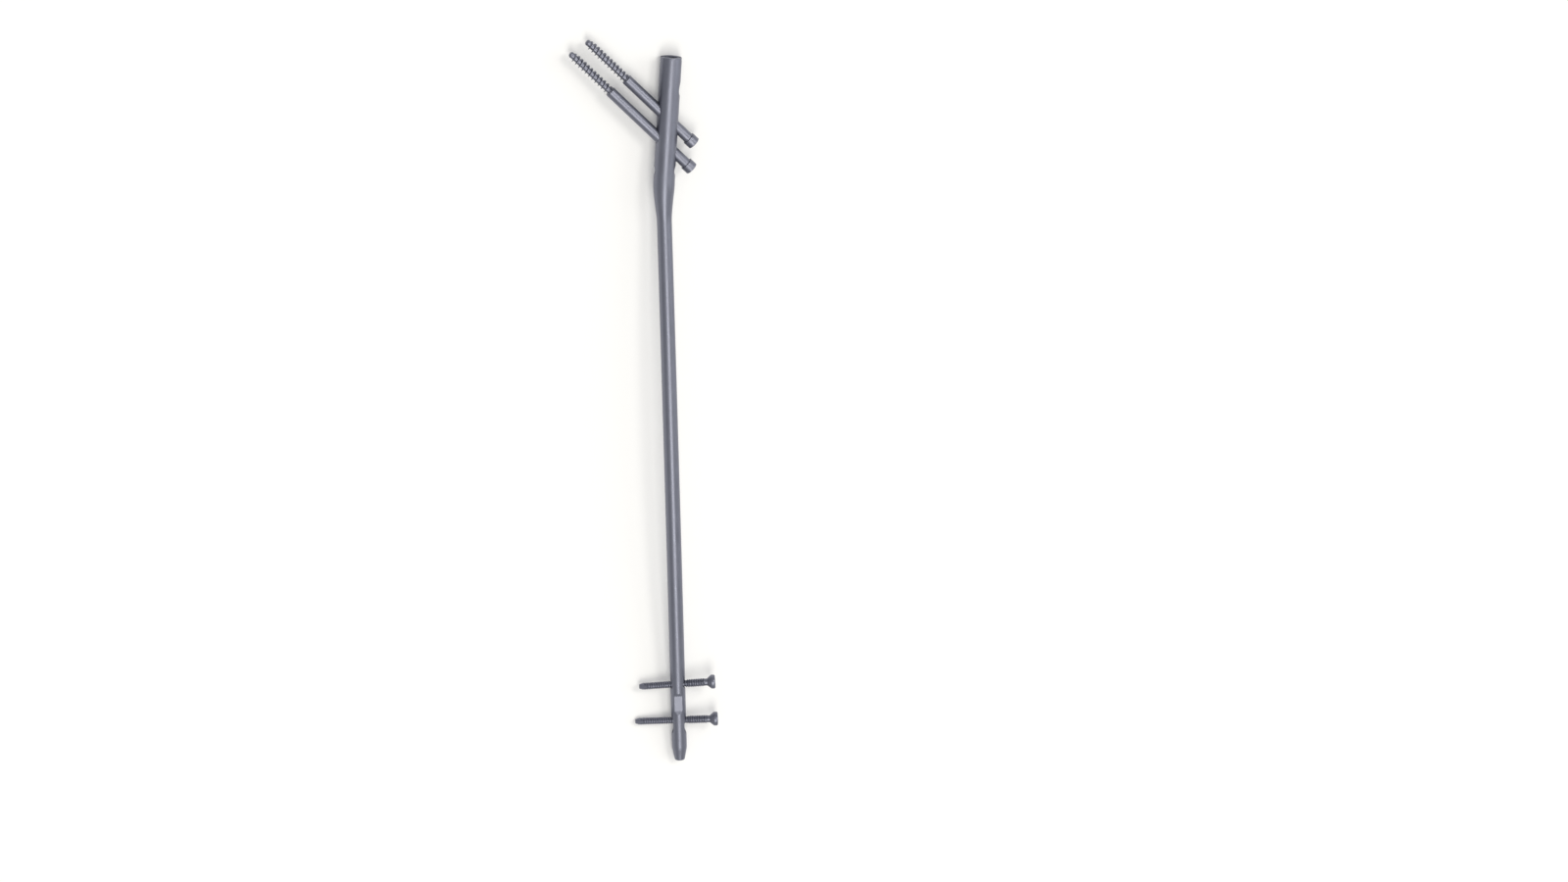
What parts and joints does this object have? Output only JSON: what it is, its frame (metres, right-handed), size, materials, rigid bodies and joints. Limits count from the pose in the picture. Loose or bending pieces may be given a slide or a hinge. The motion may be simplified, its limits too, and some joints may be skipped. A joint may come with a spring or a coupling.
{
  "type": "intramedullary nail",
  "caption": "Bowed, cannulated thigh-bone nail with angled hip screws through its head and cross locking screws near its tip.",
  "frame": {"origin": "middle of the nail's top face, at the mouth of its threaded bore", "axes": "+Y runs up the nail towards its head, +X is the outer side of the leg, +Z is the front of the leg, up as the nail lies at rest"},
  "size_m": [0.1211, 0.4463, 0.0227],
  "materials": {
    "anodised_titanium": "satin, blasted and grey anodised"
  },
  "bodies": {
    "nail": {"nail": "anodised_titanium", "distal_screw_upper": "anodised_titanium"},
    "hip_screw_upper": {"recon_screw_upper": "anodised_titanium"},
    "hip_screw_lower": {"recon_screw_lower": "anodised_titanium"},
    "slot_screw": {"distal_screw_lower": "anodised_titanium"}
  },
  "joints": [
    {"name": "hip_screw_upper_slide", "type": "slide", "parent": "nail", "child": "hip_screw_upper", "axis": [0.7547, -0.655, 0.0374], "range_m": [-0.0045, 0.01]},
    {"name": "hip_screw_lower_slide", "type": "slide", "parent": "nail", "child": "hip_screw_lower", "axis": [0.7547, -0.655, 0.0374], "range_m": [-0.0045, 0.01]},
    {"name": "slot_screw_slide", "type": "slide", "parent": "nail", "child": "slot_screw", "axis": [0.1186, -0.9874, -0.1045], "range_m": [0, 0.0056]}
  ]
}
